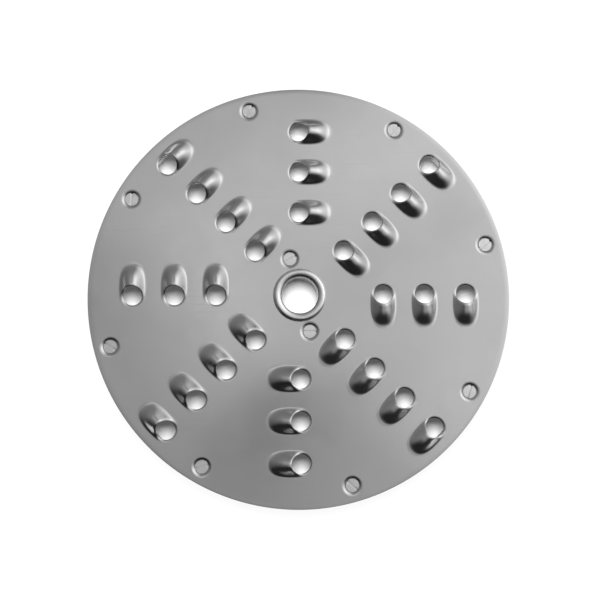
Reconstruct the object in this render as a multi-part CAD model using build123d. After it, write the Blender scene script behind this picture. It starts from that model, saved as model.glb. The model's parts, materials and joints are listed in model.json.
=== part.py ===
"""Shredding disc of a food processor: a stainless sheet with formed teeth on a cast aluminium carrier.

The disc lies flat with its teeth up. The Z axis is the drive bore, and Z = 0 is the face of the hub
that stands on a table. Seen from above, the mouths of the teeth face counter-clockwise.
"""
from build123d import *

import os
from math import asin, atan2, cos, degrees, floor, hypot, pi, radians, sin, sqrt, tan

# Driving dimensions, in millimetres and degrees

# Stainless sheet
plate_diameter = 205.0
plate_thickness = 1.0
edge_roll_width = 2.5
edge_roll_radius = 7.5
edge_break = 0.3

# Shredding teeth
hole_radius = 4.7
tooth_bore_radius = 4.6
tooth_height = 4.0
tooth_reach = 16.2
ridge_tilt = 10.0
root_fillet = 0.8
track_pitch = 10.08
row_count = 8

# Slotted countersunk screws and their pressed seats
shank_radius = 1.75
head_radius = 3.5
head_edge = 0.25
head_sink = 0.55
slot_width = 1.0
slot_depth = 0.9
rim_screw_length = 7.8
hub_screw_length = 6.0
screw_angle = 15.0
screw_tip_chamfer = 0.5
seat_shoulder_radius = 2.0
seat_land = 0.25
rim_screw_count = 8
hub_screw_count = 2
rim_slot_angles = (38.0, 48.0, 60.0, 85.0, -32.0, 20.0, -40.0, 70.0)
hub_slot_angles = (30.0, 0.0)

# Cast carrier
bore_radius = 9.0
bore_length = 18.0
bore_lead = 1.0
collar_radius = 12.9
collar_height = 2.0
collar_round = 1.7
hub_radius = 18.0
hub_foot_chamfer = 0.8
hub_root_fillet = 2.0
plate_overhang = 1.0
rim_width = 5.0
rim_depth = 8.0
arm_count = 4
arm_width = 7.0
arm_depth = 6.0
web_fillet = 2.0
boss_wall = 1.25

# Clearances
collar_gap = 0.05
shank_gap = 0.15
thread_gap = 0.05
head_gap = 0.05
seat_gap = 0.1
flange_clearance = 1.0
rim_clearance = 0.6
roll_gap = 0.3

# Derived levels and radii

plate_radius = plate_diameter / 2
plate_top = bore_length - collar_height
carrier_top = plate_top - plate_thickness
rim_bottom = carrier_top - rim_depth
flat_radius = plate_radius - edge_roll_width
centre_hole_radius = collar_radius + collar_gap

# A seat is a 90 degree cone, so a radius on it changes as fast as the depth
seat_cone_radius = head_radius + head_edge + head_sink
seat_outer_radius = seat_cone_radius + seat_shoulder_radius * tan(pi / 8)
recess_radius = seat_outer_radius + seat_gap
boss_radius = recess_radius + boss_wall
rim_screw_radius = flat_radius - seat_land - seat_outer_radius
hub_screw_radius = centre_hole_radius + seat_land + seat_outer_radius

rim_outer = plate_radius - plate_overhang
rim_inner = rim_outer - rim_width
flange_radius = hub_screw_radius + boss_radius

# Tracks run from the hub flange to the rim, as many as there is room for
inner_track = flange_radius + flange_clearance + hole_radius
last_track = rim_inner - rim_clearance - hole_radius
track_count = floor((last_track - inner_track) / track_pitch) + 1

# The bar that forms a tooth is tilted, and the ridge over it starts at the tooth's height
tooth_outer_radius = tooth_bore_radius + plate_thickness
mouth_angle = degrees(atan2(tooth_height, tooth_outer_radius))
tilt = radians(ridge_tilt)
bar_x = tooth_outer_radius * (1 - sin(tilt))
bar_z = tooth_height - tooth_outer_radius * cos(tilt)

# The bar's ball nose lies so far along it that the tooth runs out at its reach
tail_along = (tooth_reach - bar_x) * cos(tilt) + bar_z * sin(tilt)
tail_aside = (tooth_reach - bar_x) * sin(tilt) - bar_z * cos(tilt)
nose_along = tail_along - sqrt(tooth_outer_radius**2 - tail_aside**2)

# The patch of sheet that one tooth is formed in, and how far cutting tools reach past it
patch_margin = 2 * root_fillet
patch_half_width = tooth_outer_radius + patch_margin
patch_tail_half_width = tooth_outer_radius
patch_back = tooth_reach + patch_margin
patch_front = hole_radius + patch_margin
tool_reach = 3 * tooth_reach

# The rolled edge's underside is an arc, and it drops this far
under_roll_radius = edge_roll_radius - plate_thickness
under_roll_drop = under_roll_radius - sqrt(under_roll_radius**2 - edge_roll_width**2)


def half_space(direction):
    """A cutting box, larger than a tooth, that fills one side of a plane through the origin."""
    box = Box(2 * tool_reach, 2 * tool_reach, 2 * tool_reach)
    return Pos(Vector(direction) * tool_reach) * box


def around(radius, angle):
    """The place on the disc at a radius and an angle, with +X pointing outwards."""
    return Rot(0, 0, angle) * Pos(radius, 0, 0)


# Teeth


def punch(radius):
    """The round punch that forms a tooth: a tilted bar with a ball nose towards the tail."""
    heel = -2 * tooth_outer_radius
    shoulder = (nose_along, radius)
    tip = (nose_along + radius, 0)
    outline = Polyline(tip, (heel, 0), (heel, radius), shoulder) + RadiusArc(shoulder, tip, radius)
    bar = revolve(Plane.XZ * make_face(outline), Axis.X)
    return Pos(bar_x, 0, bar_z) * Rot(0, ridge_tilt, 0) * bar


def patch_outline():
    """The outline of the patch of sheet that one tooth is formed in."""
    return make_face(
        Polyline(
            (-patch_front, -patch_half_width),
            (hole_radius, -patch_half_width),
            (patch_back, -patch_tail_half_width),
            (patch_back, patch_tail_half_width),
            (hole_radius, patch_half_width),
            (-patch_front, patch_half_width),
            close=True,
        )
    )


def tooth_patch():
    """One tooth in its patch of sheet: hole at the origin, tail along +X, sheet surface at Z = 0."""
    sheet = extrude(patch_outline(), -plate_thickness)
    above_underside = Pos(0, 0, -plate_thickness) * half_space((0, 0, 1))
    above_mouth = Rot(0, -mouth_angle, 0) * half_space((0, 0, 1))
    hood = (punch(tooth_outer_radius) & above_underside) - above_mouth
    throat = punch(tooth_bore_radius) & half_space((1, 0, 0))
    # The round hole meets the throat where both are as wide
    meeting = sqrt(max(hole_radius**2 - tooth_bore_radius**2, 0))
    hole = Cylinder(hole_radius, tool_reach) & (Pos(meeting, 0, 0) * half_space((-1, 0, 0)))
    patch = sheet + hood - throat - hole
    surface = patch.faces().filter_by(Plane.XY).sort_by(Axis.Z)[-1]
    curved = surface.edges().filter_by(lambda edge: edge.geom_type != GeomType.LINE)
    root = curved.filter_by(lambda edge: edge.center().X > 0)
    return fillet(root, root_fillet)


def tooth_places():
    """Where each tooth sits: tracks alternate between the rows on the axes and those between them."""
    step = 360 / row_count
    places = []
    for track in range(track_count):
        first = 1 if track % 2 == 0 else 0
        for row in range(first, row_count, 2):
            radius = inner_track + track * track_pitch
            places.append(Pos(0, 0, plate_top) * around(radius, row * step) * Rot(0, 0, -90))
    return places


# Screws and seats


def screw_places(radius, count, first_angle):
    """Evenly spaced places for screws on a circle."""
    return [around(radius, first_angle + 360 / count * index) for index in range(count)]


def rim_screw_places():
    """The screws near the sheet's edge."""
    return screw_places(rim_screw_radius, rim_screw_count, screw_angle)


def hub_screw_places():
    """The screws beside the collar, on two of the lines that the carrier's arms follow."""
    return screw_places(hub_screw_radius, hub_screw_count, screw_angle + 360 / arm_count)


def seat_profile():
    """Half section of the sheet pressed down round a screw, with the sheet surface at Z = 0."""
    hole = shank_radius + shank_gap
    centre_z = -seat_shoulder_radius

    def shoulder(radius):
        angles = (0, pi / 8, pi / 4)
        return [(seat_outer_radius - radius * sin(angle), centre_z + radius * cos(angle)) for angle in angles]

    top = shoulder(seat_shoulder_radius)
    bottom = shoulder(seat_shoulder_radius - plate_thickness)
    top_hole = (hole, hole - seat_cone_radius)
    bottom_hole = (hole, hole - seat_cone_radius - plate_thickness * sqrt(2))
    outline = ThreePointArc(*top) + Polyline(top[2], top_hole, bottom_hole, bottom[2])
    outline += ThreePointArc(*bottom) + Line(bottom[0], top[0])
    return make_face(outline)


def screw(length, slot_angle):
    """A slotted countersunk screw with its axis on Z and the sheet surface at Z = 0."""
    head_top = -head_sink
    cone_top = head_top - head_edge
    cone_bottom = cone_top - (head_radius - shank_radius)
    tip = head_top - length
    outline = Polyline(
        (0, head_top),
        (head_radius - head_gap, head_top),
        (head_radius - head_gap, cone_top),
        (shank_radius - head_gap, cone_bottom),
        (shank_radius - head_gap, tip + screw_tip_chamfer),
        (shank_radius - head_gap - screw_tip_chamfer, tip),
        (0, tip),
        (0, head_top),
    )
    body = revolve(Plane.XZ * make_face(outline), Axis.Z)
    slot = Pos(0, 0, head_top) * Rot(0, 0, slot_angle) * Box(4 * head_radius, slot_width, 2 * slot_depth)
    return body - slot


def screw_set(places, length, slot_angles):
    """A ring of screws as separate solids. Slot angles are measured from the X axis."""
    screws = []
    for index, place in enumerate(places):
        turn = slot_angles[index % len(slot_angles)] - place.orientation.Z
        screws.append(Pos(0, 0, plate_top) * place * screw(length, turn))
    return Compound(children=screws)


# Stainless sheet


def sheet_blank():
    """The round sheet before punching, with its edge rolled down over the carrier."""
    centre_z = plate_top - edge_roll_radius

    def roll(radius):
        tilt = asin(edge_roll_width / radius)
        angles = (0, tilt / 2, tilt)
        return [(flat_radius + radius * sin(angle), centre_z + radius * cos(angle)) for angle in angles]

    top = roll(edge_roll_radius)
    under = roll(under_roll_radius)
    inner = Polyline(under[0], (centre_hole_radius, carrier_top), (centre_hole_radius, plate_top), top[0])
    outer = Line(top[2], under[2])
    section = make_face(inner + ThreePointArc(*top) + outer + ThreePointArc(*under))
    blank = revolve(Plane.XZ * section, Axis.Z)
    circles = blank.edges().filter_by(GeomType.CIRCLE).sort_by(lambda edge: edge.radius)
    return fillet(circles[-2:].sort_by(Axis.Z)[-1], edge_break)


def grating_plate():
    """The stainless sheet with its teeth and screw seats."""
    window = extrude(patch_outline(), plate_thickness, both=True)
    seat = revolve(Plane.XZ * seat_profile(), Axis.Z)
    seat_window = Cylinder(seat_outer_radius, 2 * plate_thickness)
    teeth = tooth_places()
    seats = [Pos(0, 0, plate_top) * place for place in rim_screw_places() + hub_screw_places()]
    plate = sheet_blank() - [place * window for place in teeth]
    plate -= [place * seat_window for place in seats]
    patch = tooth_patch()
    return plate + [place * patch for place in teeth] + [place * seat for place in seats]


# Cast carrier


def casting(depth, shapes):
    """A flat casting under the sheet, made of plan shapes, with rounded inner corners."""
    plan = (Sketch() + shapes) & Circle(rim_outer)
    middle_of_rim = (rim_inner + rim_outer) / 2
    corners = plan.vertices().filter_by(lambda corner: hypot(corner.X, corner.Y) < middle_of_rim)
    return Pos(0, 0, carrier_top) * extrude(fillet(corners, web_fillet), -depth)


def hub_turning():
    """The turned hub: foot, flange and the collar that stands up through the sheet."""
    top = plate_top + collar_height
    collar_bend = collar_round * (1 - sqrt(0.5))
    root_bend = hub_root_fillet * (1 - sqrt(0.5))
    root_low = (hub_radius, rim_bottom - hub_root_fillet)
    root_high = (hub_radius + hub_root_fillet, rim_bottom)
    collar_low = (collar_radius, top - collar_round)
    collar_high = (collar_radius - collar_round, top)
    bore_low = (bore_radius, hub_foot_chamfer)
    foot = Polyline(
        bore_low,
        (bore_radius + hub_foot_chamfer, 0),
        (hub_radius - hub_foot_chamfer, 0),
        (hub_radius, hub_foot_chamfer),
        root_low,
    )
    root = ThreePointArc(root_low, (hub_radius + root_bend, rim_bottom - root_bend), root_high)
    flange = Polyline(
        root_high,
        (flange_radius, rim_bottom),
        (flange_radius, carrier_top),
        (collar_radius, carrier_top),
        collar_low,
    )
    shoulder = ThreePointArc(collar_low, (collar_radius - collar_bend, top - collar_bend), collar_high)
    bore = Polyline(
        collar_high,
        (bore_radius + bore_lead, top),
        (bore_radius, top - bore_lead),
        bore_low,
    )
    return revolve(Plane.XZ * make_face(foot + root + flange + shoulder + bore), Axis.Z)


def screw_recess(hole_bottom):
    """The countersunk and tapped hole under a seat, cut from the carrier's top face."""
    thread_radius = shank_radius + thread_gap
    outline = Polyline(
        (0, carrier_top),
        (recess_radius, carrier_top),
        (thread_radius, carrier_top - recess_radius + thread_radius),
        (thread_radius, hole_bottom),
        (0, hole_bottom),
        close=True,
    )
    return revolve(Plane.XZ * make_face(outline), Axis.Z)


def roll_relief():
    """What is cut from the top of the rim to make room for the sheet's rolled edge."""
    outline = Polyline(
        (flat_radius, carrier_top),
        (plate_radius, carrier_top),
        (plate_radius, carrier_top - under_roll_drop - roll_gap),
        close=True,
    )
    return revolve(Plane.XZ * make_face(outline), Axis.Z)


def carrier():
    """The aluminium casting that holds the sheet: hub, arms, rim and screw bosses."""
    ring = Circle(rim_outer) - Circle(rim_inner)
    bosses = [place * Circle(boss_radius) for place in rim_screw_places()]
    arm = Pos(rim_inner / 2, 0) * Rectangle(rim_inner, arm_width)
    arms = [Rot(0, 0, screw_angle + 360 / arm_count * index) * arm for index in range(arm_count)]
    rim = casting(rim_depth, [ring] + bosses)
    web = casting(arm_depth, [ring, Circle(flange_radius)] + arms + bosses)
    bore = Pos(0, 0, carrier_top) * Cylinder(bore_radius + bore_lead, 2 * bore_length)
    body = rim + (web - bore) + hub_turning()
    hub_hole_bottom = plate_top - head_sink - hub_screw_length - screw_tip_chamfer
    body -= [place * screw_recess(rim_bottom) for place in rim_screw_places()]
    body -= [place * screw_recess(hub_hole_bottom) for place in hub_screw_places()]
    return body - roll_relief()


# Files


def main():
    os.makedirs("parts", exist_ok=True)
    nodes = {
        "grating_plate": grating_plate(),
        "carrier": carrier(),
        "rim_screws": screw_set(rim_screw_places(), rim_screw_length, rim_slot_angles),
        "hub_screws": screw_set(hub_screw_places(), hub_screw_length, hub_slot_angles),
    }
    for name, shape in nodes.items():
        export_step(shape, f"parts/{name}.step")


if __name__ == "__main__":
    main()
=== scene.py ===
"""Studio scene of a food processor's shredding disc, standing on its hub with the teeth up.

New pieces are drawn in millimetres and brought to metres when they are finished.
"""
import json
from math import asin, atan2, cos, degrees, hypot, pi, radians, sin, sqrt, tan

import bmesh
import bpy
from mathutils import Matrix, Vector


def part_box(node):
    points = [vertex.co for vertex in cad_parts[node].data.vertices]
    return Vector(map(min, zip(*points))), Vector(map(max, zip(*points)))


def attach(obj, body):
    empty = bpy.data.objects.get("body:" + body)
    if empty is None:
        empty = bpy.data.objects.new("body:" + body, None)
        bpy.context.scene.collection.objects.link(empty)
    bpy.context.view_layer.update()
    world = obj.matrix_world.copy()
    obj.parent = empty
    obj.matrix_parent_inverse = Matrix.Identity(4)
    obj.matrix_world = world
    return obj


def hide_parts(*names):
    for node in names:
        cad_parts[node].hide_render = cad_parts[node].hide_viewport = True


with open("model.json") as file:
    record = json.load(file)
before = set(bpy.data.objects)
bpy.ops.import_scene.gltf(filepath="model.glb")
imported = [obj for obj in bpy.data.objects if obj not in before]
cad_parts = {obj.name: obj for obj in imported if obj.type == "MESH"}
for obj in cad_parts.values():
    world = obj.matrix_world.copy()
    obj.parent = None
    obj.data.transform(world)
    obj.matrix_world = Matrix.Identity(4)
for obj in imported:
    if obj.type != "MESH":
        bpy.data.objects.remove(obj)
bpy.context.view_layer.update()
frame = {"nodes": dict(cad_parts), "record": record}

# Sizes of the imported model, in millimetres
MM = 0.001
plate_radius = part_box("grating_plate")[1][0] / MM
tooth_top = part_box("grating_plate")[1][2] / MM
collar_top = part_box("carrier")[1][2] / MM

# Stainless sheet
collar_height = 2.0
plate_top = collar_top - collar_height
plate_thickness = 1.0
centre_hole_radius = 12.95
edge_roll_width = 2.5
edge_roll_radius = 30.0
edge_break = 0.2
flat_radius = plate_radius - edge_roll_width
flat_margin = 0.1

# Shredding teeth: a round hole under a hood with bell-shaped flanks and a blunt tail
tooth_height = tooth_top - plate_top
tooth_bore_radius = 4.6
rise_start = -3.0
hood_length = 15.3
hood_half_width = 6.4
tail_power = 4.5
flank_power = 2.3
bell_power = 1.8
patch_reach = 18.8
patch_half_width = 7.7
patch_margin = 1.03
hood_share = 0.955
hood_height = hood_share * tooth_height
mouth_flare = 0.12
flare_width = 3.5
edge_dip = 0.45
dip_width = 1.1
hole_edge_round = 0.12

# Slotted screws and their pressed seats
screw_angle = 15.0
rim_screw_count = 8
hub_screw_count = 2
rim_screw_length = 7.8
hub_screw_length = 6.0
rim_slot_angles = (38, 48, 60, 85, -32, 20, -40, 70)
hub_slot_angles = (30, 0)
head_radius = 3.2
head_edge = 0.25
head_round = 0.12
head_sink = 0.55
shank_radius = 1.7
slot_width = 0.9
slot_depth = 0.5
thread_pitch = 0.6
thread_depth = 0.3
seat_hole_radius = 1.9
seat_outer_radius = 5.13
seat_shoulder_radius = 2.6
seat_slope = 45.0
seat_land = 0.25
seat_cone_radius = seat_outer_radius - seat_shoulder_radius * tan(radians(seat_slope / 2))
rim_screw_radius = flat_radius - seat_land - seat_outer_radius
hub_screw_radius = centre_hole_radius + seat_land + seat_outer_radius

# Cast carrier
cast_edge_round = 0.4
hub_radius = 18.0
bore_radius = 9.0
mouth_radius = 10.0
mouth_round = 1.0
mouth_tolerance = 0.12
rim_outer = 101.5
turned_edge = 0.2
# Painted shade on the bore's wall: where it starts and ends outside the bore's radius, and the share of
# colour left there
bore_shade_start = 0.05
bore_shade_end = 0.5
bore_shade_tone = 0.3

# Fineness of the meshes
weld = 1e-4
rim_steps = 288
bore_steps = 96
seat_steps = 48
screw_steps = 48
tooth_rings = 14
ring_crowding = 1.3
hole_steps = 56
shoulder_steps = 6
mouth_steps = 6
cast_round_steps = 3
small_round_steps = 2
crease_angle = 30.0
sharp_angle = 60.0
flat_angle = 0.5

# Paper floor, in metres: the painted shade under the disc, where the paper's glow fades far away as a
# painted pool of light, and its levels
paper_size = 6
shade_start = 0.1
shade_end = 0.1045
shaded_tone = 0.25
paper_tone = 0.03
painted_shade_glow = 0.075
paper_glow = 0.95
fade_start = 0.2
fade_end = 0.6
far_share = 0.2

# Lamp for the floor, in metres
lamp_place = (-0.011, 0.09, 0.414)
lamp_size = 0.16
lamp_radiance = 108.0

# Studio tent: its slope, and soft light or dark places with their direction, spread and change of level
tent_top = (0.02, 0.37, 0.93)
tent_low = -0.06
tent_high = 0.32
tent_floor = 0.02
tent_places = (
    ((0.78, 0.35, 0.51), radians(55), 0.66),
    ((0.68, 0.28, 0.67), radians(25), 0.3),
    ((-0.18, -0.77, 0.62), radians(74), -0.18),
    ((0.2, 0.12, 0.97), radians(48), 0.35),
    ((-0.075, 0.125, 1), radians(7), 0.19),
    ((0.1, 0.22, 1), radians(5.5), 0.2),
    ((0.24, 0.165, 1), radians(7), -0.13),
    ((0.215, -0.06, 1), radians(4.5), 0.45),
    ((0.07, -0.06, 1), radians(5.5), -0.25),
    ((-0.07, -0.09, 1), radians(5.5), -0.15),
    ((0.01, -0.1, 1), radians(5), -0.2),
    ((-0.073, 0.05, 1), radians(4.5), 0.25),
    ((-0.24, 0.08, 1), radians(7), -0.2),
    ((0.02, 0.6, 1), radians(13), -0.3),
)

# Camera: its lean from straight above and its roll in degrees, its distance in metres, and its framing
disc_middle = Vector((0, 0, plate_top * MM))
camera_lean_x = -1.56
camera_lean_y = -4.97
camera_roll = -0.39
camera_distance = 0.4
camera_lens = 49.4
camera_sensor = 36
camera_shift_x = 0.0004
camera_shift_y = -0.0082


# Modelling helpers


class Outline:
    """A chain of edges drawn from point to point in edit mode, in the plane across an axis."""

    def __init__(self, name, start, axis):
        self.axis = Vector(axis)
        self.tip = Vector(start)
        bpy.ops.object.select_all(action="DESELECT")
        bpy.ops.mesh.primitive_plane_add(size=1)
        self.piece = bpy.context.object
        self.piece.name = name
        self.piece.data.name = name
        bpy.ops.object.mode_set(mode="EDIT")
        bpy.ops.mesh.select_mode(type="VERT")
        bpy.ops.mesh.select_all(action="SELECT")
        bpy.ops.mesh.merge(type="CENTER")
        bpy.ops.transform.translate(value=self.tip)

    def line(self, *places):
        """Straight on to each place in turn."""
        for place in places:
            step = Vector(place) - self.tip
            bpy.ops.mesh.extrude_region_move(TRANSFORM_OT_translate={"value": step})
            self.tip += step

    def arc(self, centre, angle, steps):
        """Round a centre by an angle in degrees."""
        bpy.ops.mesh.spin(steps=steps, angle=-radians(angle), center=centre, axis=self.axis)
        turn = Matrix.Rotation(radians(angle), 3, self.axis)
        self.tip = Vector(centre) + turn @ (self.tip - Vector(centre))

    def revolve(self, steps):
        """Turns the finished outline once round the Z axis."""
        bpy.ops.mesh.select_all(action="SELECT")
        bpy.ops.mesh.spin(steps=steps, angle=2 * pi, center=(0, 0, 0), axis=(0, 0, 1))
        bpy.ops.mesh.select_all(action="SELECT")
        bpy.ops.mesh.remove_doubles(threshold=weld)
        bpy.ops.mesh.normals_make_consistent(inside=False)
        bpy.ops.object.mode_set(mode="OBJECT")
        return self.piece


def activate(piece):
    """Selects one piece alone."""
    bpy.ops.object.select_all(action="DESELECT")
    piece.select_set(True)
    bpy.context.view_layer.objects.active = piece


def select_edges(piece, wanted):
    """Selects the edges that a test picks, in edit mode. The test gets the edge and its two ends."""
    bpy.ops.mesh.select_mode(type="EDGE")
    bpy.ops.mesh.select_all(action="DESELECT")
    mesh = bmesh.from_edit_mesh(piece.data)
    for edge in mesh.edges:
        edge.select_set(wanted(edge, edge.verts[0].co, edge.verts[1].co))
    bmesh.update_edit_mesh(piece.data)


def join(pieces, name):
    """Joins pieces to the first one and welds what meets."""
    activate(pieces[0])
    for piece in pieces:
        piece.select_set(True)
    bpy.ops.object.join()
    pieces[0].name = name
    pieces[0].data.name = name
    bpy.ops.object.mode_set(mode="EDIT")
    bpy.ops.mesh.select_all(action="SELECT")
    bpy.ops.mesh.remove_doubles(threshold=weld)
    bpy.ops.object.mode_set(mode="OBJECT")
    return pieces[0]


def copies(piece, places):
    """Copies of a piece, each with its own mesh, at these places. The piece itself is used up."""
    made = []
    for place in places:
        activate(piece)
        bpy.ops.object.duplicate(linked=False)
        bpy.context.object.matrix_world = place
        bpy.ops.object.transform_apply(location=True, rotation=True, scale=True)
        made.append(bpy.context.object)
    bpy.data.objects.remove(piece)
    return made


def apply_modifier(piece, name, kind, **settings):
    """Adds a modifier with these settings and applies it."""
    activate(piece)
    modifier = piece.modifiers.new(name, kind)
    for setting, value in settings.items():
        setattr(modifier, setting, value)
    bpy.ops.object.modifier_apply(modifier=modifier.name)


def finish_piece(piece, node, material, scale=MM):
    """Brings a piece to metres, smooths it, gives it its finish and lets it stand for its node."""
    activate(piece)
    piece.scale = (scale, scale, scale)
    bpy.ops.object.transform_apply(location=True, rotation=True, scale=True)
    bpy.ops.object.shade_smooth_by_angle(angle=radians(crease_angle))
    apply_modifier(piece, "even_shading", "WEIGHTED_NORMAL", keep_sharp=True, weight=100)
    piece.data.materials.clear()
    piece.data.materials.append(material)
    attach(piece, "root")
    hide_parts(node)


def around(radius, angle, height):
    """The place at a radius and an angle, with +X pointing outwards."""
    return Matrix.Rotation(radians(angle), 4, "Z") @ Matrix.Translation((radius, 0, height))


# Shredding tooth


def smooth_step(value):
    """A soft step from 0 to 1 as the value goes from 0 to 1."""
    share = min(max(value, 0), 1)
    return share**2 * (3 - 2 * share)


def tooth_level(x, y):
    """How far the sheet stands up at a place round a hole, with the tail along +X."""
    rise = smooth_step((x - rise_start) / (tooth_bore_radius - rise_start))
    inside = 1 - (max(x, 0) / hood_length) ** tail_power - abs(y / hood_half_width) ** flank_power
    hood = hood_height * max(inside, 0) ** bell_power
    from_edge = hypot(x, y) - tooth_bore_radius
    dip = edge_dip * max(1 - from_edge / dip_width, 0) ** 2
    flare = mouth_flare * max(1 - from_edge / flare_width, 0) ** 2
    return hood * rise * (1 + flare) - dip


def patch_edge(angle):
    """The edge of the sheet that one tooth changes: round at the front, long towards the tail."""
    reach = patch_reach if cos(angle) > 0 else patch_half_width
    return Vector((reach * cos(angle), patch_half_width * sin(angle)))


def tooth():
    """One tooth with its hole at the origin, its tail along +X and the sheet's upper face at Z = 0."""
    bpy.ops.object.select_all(action="DESELECT")
    bpy.ops.mesh.primitive_circle_add(vertices=hole_steps, radius=1)
    piece = bpy.context.object
    bpy.ops.object.mode_set(mode="EDIT")
    bpy.ops.mesh.select_all(action="SELECT")
    for ring in range(1, tooth_rings + 1):
        bpy.ops.mesh.extrude_region_move()
        growth = (ring + 1) / ring
        bpy.ops.transform.resize(value=(growth, growth, 1), center_override=(0, 0, 0))
    bpy.ops.object.mode_set(mode="OBJECT")
    form_tooth(piece)
    apply_modifier(piece, "sheet", "SOLIDIFY", thickness=plate_thickness, offset=-1)
    # The walls that close the sheet round the patch come off again
    bpy.ops.object.mode_set(mode="EDIT")
    bpy.ops.mesh.select_mode(type="FACE")
    bpy.ops.mesh.select_all(action="DESELECT")
    mesh = bmesh.from_edit_mesh(piece.data)
    for face in mesh.faces:
        face.normal_update()
        outside = face.calc_center_median().xy.length > patch_half_width
        face.select_set(abs(face.normal.z) < weld and outside)
    bpy.ops.mesh.delete(type="FACE")
    bpy.ops.object.mode_set(mode="OBJECT")
    apply_modifier(
        piece, "hole_edge", "BEVEL", width=hole_edge_round, segments=small_round_steps, limit_method="ANGLE",
        angle_limit=radians(sharp_angle),
    )
    return piece


def form_tooth(piece):
    """Spreads the rings from the hole to the edge of the patch and presses the tooth up."""
    last_ring = tooth_rings - 1
    for vertex in piece.data.vertices:
        angle = atan2(vertex.co.y, vertex.co.x)
        ring = round(vertex.co.xy.length) - 1
        hole = tooth_bore_radius * Vector((cos(angle), sin(angle)))
        if ring < last_ring:
            share = (ring / last_ring) ** ring_crowding
            place = hole.lerp(patch_edge(angle), share)
            vertex.co = (*place, tooth_level(*place))
        else:
            grown = patch_margin if ring > last_ring else 1
            vertex.co = (*(patch_edge(angle) * grown), 0)


def tooth_places():
    """Where the teeth sit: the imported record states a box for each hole."""
    places = []
    for opening in frame["record"]["physics"]["openings"]:
        if opening["name"].startswith("tooth_hole"):
            low, high = (Vector(corner) / MM for corner in opening["box_m"])
            hole = (low + high) / 2
            turn = Matrix.Rotation(atan2(hole.y, hole.x) - pi / 2, 4, "Z")
            places.append(Matrix.Translation((hole.x, hole.y, plate_top)) @ turn)
    return places


# Stainless sheet


def screw_places(radius, count, first_angle, height):
    """Evenly spaced places for screws on a circle."""
    return [around(radius, first_angle + 360 / count * index, height) for index in range(count)]


def rim_screw_places(height):
    """The screws near the sheet's edge."""
    return screw_places(rim_screw_radius, rim_screw_count, screw_angle, height)


def hub_screw_places(height):
    """The screws beside the collar."""
    return screw_places(hub_screw_radius, hub_screw_count, screw_angle + 90, height)


def screw_seat():
    """The sheet pressed down round a screw, as a 90 degree cone with a rounded shoulder."""
    centre = (seat_outer_radius, 0, -seat_shoulder_radius)
    under_shoulder = (seat_shoulder_radius - plate_thickness) * sqrt(0.5)
    cone_bottom = seat_hole_radius - seat_cone_radius
    seat = Outline("seat", (seat_outer_radius + flat_margin, 0, 0), (0, 1, 0))
    seat.line((seat_outer_radius, 0, 0))
    seat.arc(centre, -seat_slope, shoulder_steps)
    seat.line(
        (seat_hole_radius, 0, cone_bottom),
        (seat_hole_radius, 0, cone_bottom - plate_thickness * sqrt(2)),
        (seat_outer_radius - under_shoulder, 0, under_shoulder - seat_shoulder_radius),
    )
    seat.arc(centre, seat_slope, shoulder_steps)
    seat.line((seat_outer_radius + flat_margin, 0, -plate_thickness))
    return seat.revolve(seat_steps)


def rolled_edge():
    """The rolled edge of the sheet, with its upper corner broken."""
    centre = (flat_radius, 0, -edge_roll_radius)
    roll = degrees(asin((edge_roll_width - edge_break) / edge_roll_radius))
    under_radius = edge_roll_radius - plate_thickness
    under_roll = asin(edge_roll_width / under_radius)
    break_z = edge_roll_radius * cos(radians(roll)) - edge_roll_radius - edge_break
    edge = Outline("rolled_edge", (flat_radius - flat_margin, 0, 0), (0, 1, 0))
    edge.line((flat_radius, 0, 0))
    edge.arc(centre, roll, 2 * shoulder_steps)
    edge.arc((plate_radius - edge_break, 0, break_z), 90, shoulder_steps)
    edge.line((plate_radius, 0, under_radius * cos(under_roll) - edge_roll_radius))
    edge.arc(centre, -degrees(under_roll), shoulder_steps)
    edge.line((flat_radius - flat_margin, 0, -plate_thickness))
    return edge.revolve(rim_steps)


def centre_hole():
    """The wall of the hole round the hub's collar."""
    wall = Outline("centre_hole", (centre_hole_radius, 0, 0), (0, 1, 0))
    wall.line((centre_hole_radius, 0, -plate_thickness))
    return wall.revolve(bore_steps)


def fill_sheet(piece, height):
    """Fills the flat sheet between all the open edges at a height."""
    select_edges(
        piece,
        lambda edge, a, b: max(abs(a.z - height), abs(b.z - height)) < weld and len(edge.link_faces) == 1,
    )
    bpy.ops.mesh.fill(use_beauty=True)


def stainless_sheet(material):
    """The stainless sheet with its teeth, screw seats, centre hole and rolled edge."""
    up = Matrix.Translation((0, 0, plate_top))
    seats = rim_screw_places(plate_top) + hub_screw_places(plate_top)
    pieces = copies(rolled_edge(), [up]) + copies(centre_hole(), [up])
    pieces += copies(screw_seat(), seats) + copies(tooth(), tooth_places())
    sheet = join(pieces, "stainless_sheet")
    bpy.ops.object.mode_set(mode="EDIT")
    fill_sheet(sheet, plate_top)
    fill_sheet(sheet, plate_top - plate_thickness)
    bpy.ops.mesh.select_all(action="SELECT")
    bpy.ops.mesh.normals_make_consistent(inside=False)
    bpy.ops.object.mode_set(mode="OBJECT")
    finish_piece(sheet, "grating_plate", material)


# Screws


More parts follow.
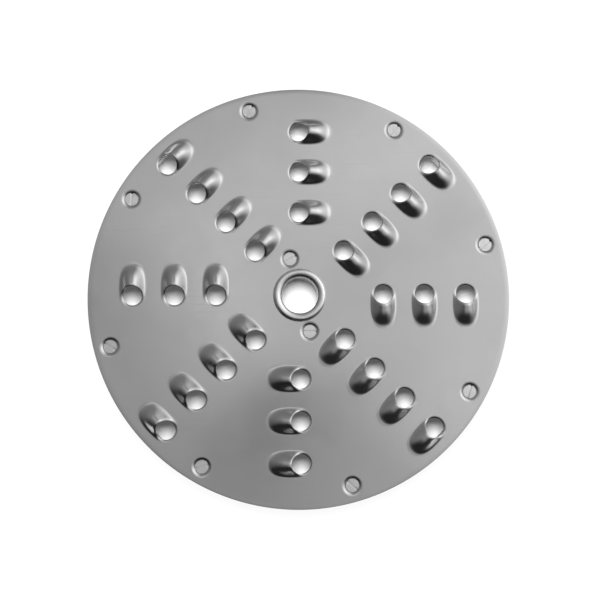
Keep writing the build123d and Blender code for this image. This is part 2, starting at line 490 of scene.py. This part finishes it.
def slotted_screw(length):
    """A slotted countersunk screw on the Z axis, with the top of its head at Z = 0."""
    core_radius = shank_radius - thread_depth
    cone_bottom = shank_radius - head_radius - head_edge
    outline = Outline("screw", (0, 0, 0), (0, 1, 0))
    outline.line((head_radius - head_round, 0, 0))
    outline.arc((head_radius - head_round, 0, -head_round), 90, shoulder_steps)
    outline.line((head_radius, 0, -head_edge), (shank_radius, 0, cone_bottom))
    level = cone_bottom
    while level - thread_pitch > thread_depth - length:
        outline.line((core_radius, 0, level - thread_pitch / 2), (shank_radius, 0, level - thread_pitch))
        level -= thread_pitch
    outline.line((core_radius, 0, -length), (0, 0, -length))
    piece = outline.revolve(screw_steps)
    bpy.ops.object.select_all(action="DESELECT")
    bpy.ops.mesh.primitive_cube_add(size=1)
    cutter = bpy.context.object
    # The cutter is centred on the head's top and reaches past its edge
    cutter.scale = (3 * head_radius, slot_width, 2 * slot_depth)
    bpy.ops.object.transform_apply(location=True, rotation=True, scale=True)
    apply_modifier(piece, "slot", "BOOLEAN", operation="DIFFERENCE", object=cutter, solver="EXACT")
    bpy.data.objects.remove(cutter)
    apply_modifier(
        piece, "worn_edges", "BEVEL", width=head_round / 2, segments=small_round_steps, limit_method="ANGLE",
        angle_limit=radians(sharp_angle),
    )
    map_head(piece)
    return piece


def map_head(piece):
    """Gives a screw a flat map in millimetres across its axis, for the turning marks on its head."""
    layer = piece.data.uv_layers.new(name="head")
    for loop in piece.data.loops:
        layer.data[loop.index].uv = piece.data.vertices[loop.vertex_index].co.xy


def screw_set(name, node, places, length, slot_angles, material):
    """A ring of screws, each with its own slot angle, measured from the X axis."""
    turned = []
    for place, angle in zip(places, slot_angles):
        turned.append(Matrix.Translation(place.translation) @ Matrix.Rotation(radians(angle), 4, "Z"))
    screws = join(copies(slotted_screw(length), turned), name)
    finish_piece(screws, node, material)


# Cast carrier


def at_mouth(place):
    """Whether a place in metres is on the edge round the bore's mouth."""
    across = abs(place.xy.length / MM - mouth_radius)
    return max(across, abs(place.z / MM - collar_top)) < mouth_tolerance


def cast_carrier(material):
    """The carrier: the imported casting, merged, with the bore's mouth and all its edges rounded."""
    casting = bpy.data.objects.new("cast_carrier", frame["nodes"]["carrier"].data.copy())
    bpy.context.scene.collection.objects.link(casting)
    activate(casting)
    bpy.ops.object.mode_set(mode="EDIT")
    bpy.ops.mesh.select_all(action="SELECT")
    bpy.ops.mesh.remove_doubles(threshold=weld * MM)
    bpy.ops.mesh.dissolve_limited(angle_limit=radians(flat_angle))
    select_edges(casting, lambda edge, a, b: at_mouth(a) and at_mouth(b))
    bpy.ops.mesh.bevel(offset=mouth_round * MM, segments=mouth_steps, affect="EDGES", clamp_overlap=True)
    bpy.ops.object.mode_set(mode="OBJECT")
    apply_modifier(
        casting, "rounded_edges", "BEVEL", width=cast_edge_round * MM, segments=cast_round_steps,
        limit_method="ANGLE", angle_limit=radians(crease_angle),
    )
    finish_piece(casting, "carrier", material, scale=1)


# Finishes


class Nodes:
    """Adds shader nodes to a tree. An input takes a number, a colour or another node's output."""

    def __init__(self, tree):
        self.tree = tree

    def add(self, kind, inputs, **settings):
        """A node with these settings and inputs."""
        node = self.tree.nodes.new(kind)
        for name, value in settings.items():
            setattr(node, name, value)
        for name, value in inputs.items():
            self.feed(node.inputs[name], value)
        return node

    def feed(self, socket, value):
        """Links an output to a socket, or sets the socket's own value."""
        if isinstance(value, bpy.types.NodeSocket):
            self.tree.links.new(value, socket)
        else:
            socket.default_value = value

    def math(self, operation, first, second):
        """Arithmetic on two values."""
        return self.add("ShaderNodeMath", {0: first, 1: second}, operation=operation).outputs[0]

    def ramp(self, value, start, end, low, high):
        """A smooth step: low where the value is under start, high where it is over end."""
        inputs = {"Value": value, "From Min": start, "From Max": end, "To Min": low, "To Max": high}
        return self.add("ShaderNodeMapRange", inputs, interpolation_type="SMOOTHSTEP").outputs["Result"]

    def changed(self, value, mask, change):
        """A value that changes by this much where a mask is 1."""
        return self.math("ADD", value, self.math("MULTIPLY", mask, change))

    def length(self, place):
        """How far a place is from the origin."""
        return self.add("ShaderNodeVectorMath", {0: place}, operation="LENGTH").outputs["Value"]

    def noise(self, place, scale, detail):
        """Cloudy noise between 0 and 1."""
        inputs = {"Vector": place, "Scale": scale, "Detail": detail}
        return self.add("ShaderNodeTexNoise", inputs).outputs["Fac"]

    def stretched(self, place, turn, stretch):
        """A place turned round Z and drawn out along its X axis."""
        inputs = {"Vector": place, "Rotation": (0, 0, radians(turn)), "Scale": (1 / stretch, 1, 1)}
        return self.add("ShaderNodeMapping", inputs).outputs["Vector"]

    def object_place(self):
        """The place on the object, in metres."""
        return self.tree.nodes.new("ShaderNodeTexCoord").outputs["Object"]

    def group(self, group, output, **inputs):
        """A node group with its named inputs."""
        made = self.add("ShaderNodeGroup", {}, node_tree=group)
        for name, value in inputs.items():
            self.feed(made.inputs[name], value)
        return made.outputs[output]


def new_group(name, inputs, output):
    """An empty node group with named inputs and one value to put out."""
    group = bpy.data.node_groups.new(name, "ShaderNodeTree")
    for socket, kind in inputs.items():
        group.interface.new_socket(name=socket, in_out="INPUT", socket_type=kind)
    group.interface.new_socket(name=output, in_out="OUTPUT", socket_type="NodeSocketFloat")
    start = group.nodes.new("NodeGroupInput").outputs
    end = group.nodes.new("NodeGroupOutput").inputs[output]
    return group, Nodes(group), start, end


def clouds_group():
    """Soft clouds of this size, between a low and a high value."""
    inputs = {"Place": "NodeSocketVector", "Size": "NodeSocketFloat"}
    inputs |= {"Low": "NodeSocketFloat", "High": "NodeSocketFloat"}
    group, nodes, start, end = new_group("soft_clouds", inputs, "Value")
    scale = nodes.math("DIVIDE", 1.0, start["Size"])
    cloud = nodes.noise(start["Place"], scale, detail=3.0)
    nodes.feed(end, nodes.ramp(cloud, start=0.3, end=0.7, low=start["Low"], high=start["High"]))
    return group


def marks_group():
    """Fine handling scratches that run two ways, as a mask."""
    inputs = {"Place": "NodeSocketVector", "Spacing": "NodeSocketFloat"}
    group, nodes, start, end = new_group("handling_marks", inputs, "Mask")
    scale = nodes.math("DIVIDE", 1.0, start["Spacing"])
    masks = []
    for turn in (28.0, 117.0):
        streak = nodes.noise(nodes.stretched(start["Place"], turn, stretch=30.0), scale, detail=2.0)
        masks.append(nodes.ramp(streak, start=0.62, end=0.72, low=0.0, high=1.0))
    patch_share = 0.06
    patches = nodes.noise(start["Place"], nodes.math("MULTIPLY", scale, patch_share), detail=1.0)
    patch_mask = nodes.ramp(patches, start=0.4, end=0.65, low=0.0, high=1.0)
    nodes.feed(end, nodes.math("MULTIPLY", nodes.math("MAXIMUM", *masks), patch_mask))
    return group


def turning_group():
    """Fine tool lines at this pitch along a distance, as a height."""
    inputs = {"Distance": "NodeSocketFloat", "Pitch": "NodeSocketFloat"}
    group, nodes, start, end = new_group("turning_lines", inputs, "Height")
    phase = nodes.math("DIVIDE", start["Distance"], start["Pitch"])
    wave = nodes.math("SINE", nodes.math("MULTIPLY", phase, 2 * pi), 0.0)
    uneven = nodes.add("ShaderNodeTexNoise", {"W": phase, "Scale": 0.7}, noise_dimensions="1D")
    nodes.feed(end, nodes.math("MULTIPLY", wave, uneven.outputs["Fac"]))
    return group


def new_material(name, roughness, metallic):
    """A material whose shader has these plain values."""
    material = bpy.data.materials.new(name)
    material.use_nodes = True
    shader = material.node_tree.nodes["Principled BSDF"]
    shader.inputs["Roughness"].default_value = roughness
    shader.inputs["Metallic"].default_value = metallic
    return material, Nodes(material.node_tree), shader.inputs


def grey(nodes, value):
    """A grey colour from a value."""
    inputs = {"Red": value, "Green": value, "Blue": value}
    return nodes.add("ShaderNodeCombineColor", inputs).outputs["Color"]


def bump(nodes, height, distance, below=None):
    """A bump that stands this far in metres, on top of another one."""
    inputs = {"Height": height, "Distance": distance}
    if below:
        inputs["Normal"] = below
    return nodes.add("ShaderNodeBump", inputs).outputs["Normal"]


def stainless_finish(clouds, marks):
    """Satin stainless sheet: slightly wavy, cloudy, with faint handling marks."""
    material, nodes, shader = new_material("stainless_sheet", roughness=0.2, metallic=1.0)
    place = nodes.object_place()
    scratch = nodes.group(marks, "Mask", Place=place, Spacing=0.0012)
    tone = nodes.group(clouds, "Value", Place=place, Size=0.05, Low=0.60, High=0.66)
    gloss = nodes.group(clouds, "Value", Place=place, Size=0.03, Low=0.17, High=0.23)
    nodes.feed(shader["Base Color"], grey(nodes, nodes.changed(tone, scratch, change=-0.012)))
    nodes.feed(shader["Roughness"], nodes.changed(gloss, scratch, change=0.015))
    waves = bump(nodes, nodes.noise(place, scale=14.0, detail=0.0), distance=0.0012)
    satin = bump(nodes, nodes.noise(place, scale=2600.0, detail=2.0), distance=0.000012, below=waves)
    nodes.feed(shader["Normal"], satin)
    return material


def cast_finish(clouds, turning):
    """Cast aluminium: grainy, with turned faces on the collar, the bore, the foot and the rim, and painted
    shade darkening the bore's wall.
    """
    material, nodes, shader = new_material("cast_aluminium", roughness=0.4, metallic=1.0)
    place = nodes.object_place()
    split = nodes.add("ShaderNodeSeparateXYZ", {"Vector": place})
    flat = nodes.add("ShaderNodeCombineXYZ", {"X": split.outputs["X"], "Y": split.outputs["Y"]})
    radius = nodes.length(flat.outputs[0])
    hub_edge = (hub_radius + turned_edge) * MM
    hub = nodes.ramp(radius, hub_edge, hub_edge + turned_edge * MM, low=1.0, high=0.0)
    rim_edge = (rim_outer - turned_edge) * MM
    rim = nodes.ramp(radius, rim_edge, rim_edge + turned_edge * MM / 2, low=0.0, high=1.0)
    turned = nodes.math("MAXIMUM", hub, rim)
    cast = nodes.math("SUBTRACT", 1.0, turned)
    tone = nodes.group(clouds, "Value", Place=place, Size=0.02, Low=0.5, High=0.58)
    bright = nodes.changed(tone, hub, change=0.34)
    # Painted shade: the colour darkens on the bore's wall, where shade falls in the bore
    wall_start = (bore_radius + bore_shade_start) * MM
    wall_end = (bore_radius + bore_shade_end) * MM
    bore = nodes.ramp(radius, wall_start, wall_end, low=bore_shade_tone, high=1.0)
    nodes.feed(shader["Base Color"], grey(nodes, nodes.math("MULTIPLY", bright, bore)))
    gloss = nodes.group(clouds, "Value", Place=place, Size=0.008, Low=0.4, High=0.5)
    nodes.feed(shader["Roughness"], nodes.changed(gloss, turned, change=-0.24))
    across = nodes.math("ADD", radius, split.outputs["Z"])
    lines = nodes.group(turning, "Height", Distance=across, Pitch=0.0003)
    tooled = bump(nodes, nodes.math("MULTIPLY", lines, turned), distance=0.000009)
    grain = nodes.math("MULTIPLY", nodes.noise(place, scale=1100.0, detail=3.0), cast)
    rough_cast = bump(nodes, grain, distance=0.00016, below=tooled)
    nodes.feed(shader["Normal"], rough_cast)
    return material


def screw_finish(clouds, marks, turning):
    """Satin plated steel, with turning marks on the heads."""
    material, nodes, shader = new_material("screw_steel", roughness=0.45, metallic=1.0)
    place = nodes.object_place()
    scratch = nodes.group(marks, "Mask", Place=place, Spacing=0.0004)
    tone = nodes.group(clouds, "Value", Place=place, Size=0.012, Low=0.84, High=0.94)
    nodes.feed(shader["Base Color"], grey(nodes, nodes.changed(tone, scratch, change=-0.1)))
    gloss = nodes.group(clouds, "Value", Place=place, Size=0.004, Low=0.3, High=0.42)
    nodes.feed(shader["Roughness"], gloss)
    across = nodes.add("ShaderNodeUVMap", {}, uv_map="head").outputs["UV"]
    lines = nodes.group(turning, "Height", Distance=nodes.length(across), Pitch=0.3)
    nodes.feed(shader["Normal"], bump(nodes, lines, distance=0.000012))
    return material


# Studio


def white_floor():
    """A sheet of white paper that glows, with painted shade where the disc stands over it and a glow that
    fades far away as a painted pool of light. Its own colour is paler under the disc, where the floor lamp
    lights it through the holes.
    """
    bpy.ops.object.select_all(action="DESELECT")
    bpy.ops.mesh.primitive_plane_add(size=paper_size)
    floor = bpy.context.object
    floor.name = "floor"
    material, nodes, shader = new_material("white_paper", roughness=1.0, metallic=0.0)
    nodes.feed(shader["Specular IOR Level"], 0.0)
    nodes.feed(shader["Emission Color"], (1, 1, 1, 1))
    radius = nodes.length(nodes.object_place())
    tone = nodes.ramp(radius, shade_start, shade_end, shaded_tone, paper_tone)
    nodes.feed(shader["Base Color"], grey(nodes, tone))
    # Painted shade: the glow drops where the disc stands over the paper
    near = nodes.ramp(radius, shade_start, shade_end, painted_shade_glow, paper_glow)
    # Painted pool of light: the glow fades far from the disc
    far = nodes.ramp(radius, fade_start, fade_end, 1.0, far_share)
    level = nodes.math("MULTIPLY", near, far)
    path = nodes.add("ShaderNodeLightPath", {}).outputs
    seen = nodes.math("MAXIMUM", path["Is Camera Ray"], path["Is Glossy Ray"])
    seen = nodes.math("MAXIMUM", seen, path["Is Transmission Ray"])
    nodes.feed(shader["Emission Strength"], nodes.math("MULTIPLY", seen, level))
    floor.data.materials.append(material)
    return floor


def floor_lamp(floor):
    """A lamp for the floor alone, whose light falls through the holes."""
    bpy.ops.object.select_all(action="DESELECT")
    bpy.ops.object.light_add(type="AREA")
    lamp = bpy.context.object
    lamp.name = "floor_lamp"
    lamp.location = lamp_place
    lamp.rotation_euler = (Vector(lamp_place) - disc_middle).to_track_quat("Z", "Y").to_euler()
    lamp.data.shape = "SQUARE"
    lamp.data.size = lamp_size
    lamp.data.energy = lamp_radiance * lamp_size**2 * pi
    receivers = bpy.data.collections.new("floor_only")
    receivers.objects.link(floor)
    lamp.light_linking.receiver_collection = receivers


def studio_world():
    """A tent over the disc, palest at the back right and darkest at the front, with soft places."""
    world = bpy.data.worlds.new("studio")
    bpy.context.scene.world = world
    world.use_nodes = True
    nodes = Nodes(world.node_tree)
    background = world.node_tree.nodes["Background"].inputs
    direction = world.node_tree.nodes.new("ShaderNodeTexCoord").outputs["Generated"]

    def towards(place):
        inputs = {0: direction, 1: Vector(place).normalized()}
        return nodes.add("ShaderNodeVectorMath", inputs, operation="DOT_PRODUCT").outputs["Value"]

    inputs = {"Value": towards(tent_top), "From Min": -1, "To Min": tent_low, "To Max": tent_high}
    level = nodes.add("ShaderNodeMapRange", inputs).outputs["Result"]
    for place, spread, change in tent_places:
        level = nodes.math("ADD", level, nodes.ramp(towards(place), cos(spread), 1.0, 0.0, change))
    nodes.feed(background["Strength"], nodes.math("MAXIMUM", level, tent_floor))
    nodes.feed(background["Color"], (1, 1, 1, 1))


def camera():
    """The photograph's view: from almost straight above, a little towards the front."""
    out = Vector((sin(radians(camera_lean_x)), sin(radians(camera_lean_y)), 0))
    out.z = sqrt(1 - out.length_squared)
    up = Vector((0, 1, 0))
    up = (up - up.dot(out) * out).normalized()
    turn = Matrix((up.cross(out), up, out)).transposed().to_4x4()
    turn = turn @ Matrix.Rotation(radians(camera_roll), 4, "Z")
    data = bpy.data.cameras.new("camera")
    view = bpy.data.objects.new("camera", data)
    bpy.context.scene.collection.objects.link(view)
    view.matrix_world = Matrix.Translation(disc_middle + out * camera_distance) @ turn
    data.sensor_width = camera_sensor
    data.lens = camera_lens
    data.shift_x = camera_shift_x
    data.shift_y = camera_shift_y
    bpy.context.scene.camera = view


# The disc and its studio

soft_clouds = clouds_group()
handling_marks = marks_group()
turning_lines = turning_group()
screw_steel = screw_finish(soft_clouds, handling_marks, turning_lines)
head_level = plate_top - head_sink

stainless_sheet(stainless_finish(soft_clouds, handling_marks))
cast_carrier(cast_finish(soft_clouds, turning_lines))
rim_places = rim_screw_places(head_level)
hub_places = hub_screw_places(head_level)
screw_set("rim_screws_turned", "rim_screws", rim_places, rim_screw_length, rim_slot_angles, screw_steel)
screw_set("hub_screws_turned", "hub_screws", hub_places, hub_screw_length, hub_slot_angles, screw_steel)

floor_lamp(white_floor())
studio_world()
camera()
bpy.context.scene.view_settings.view_transform = "Standard"
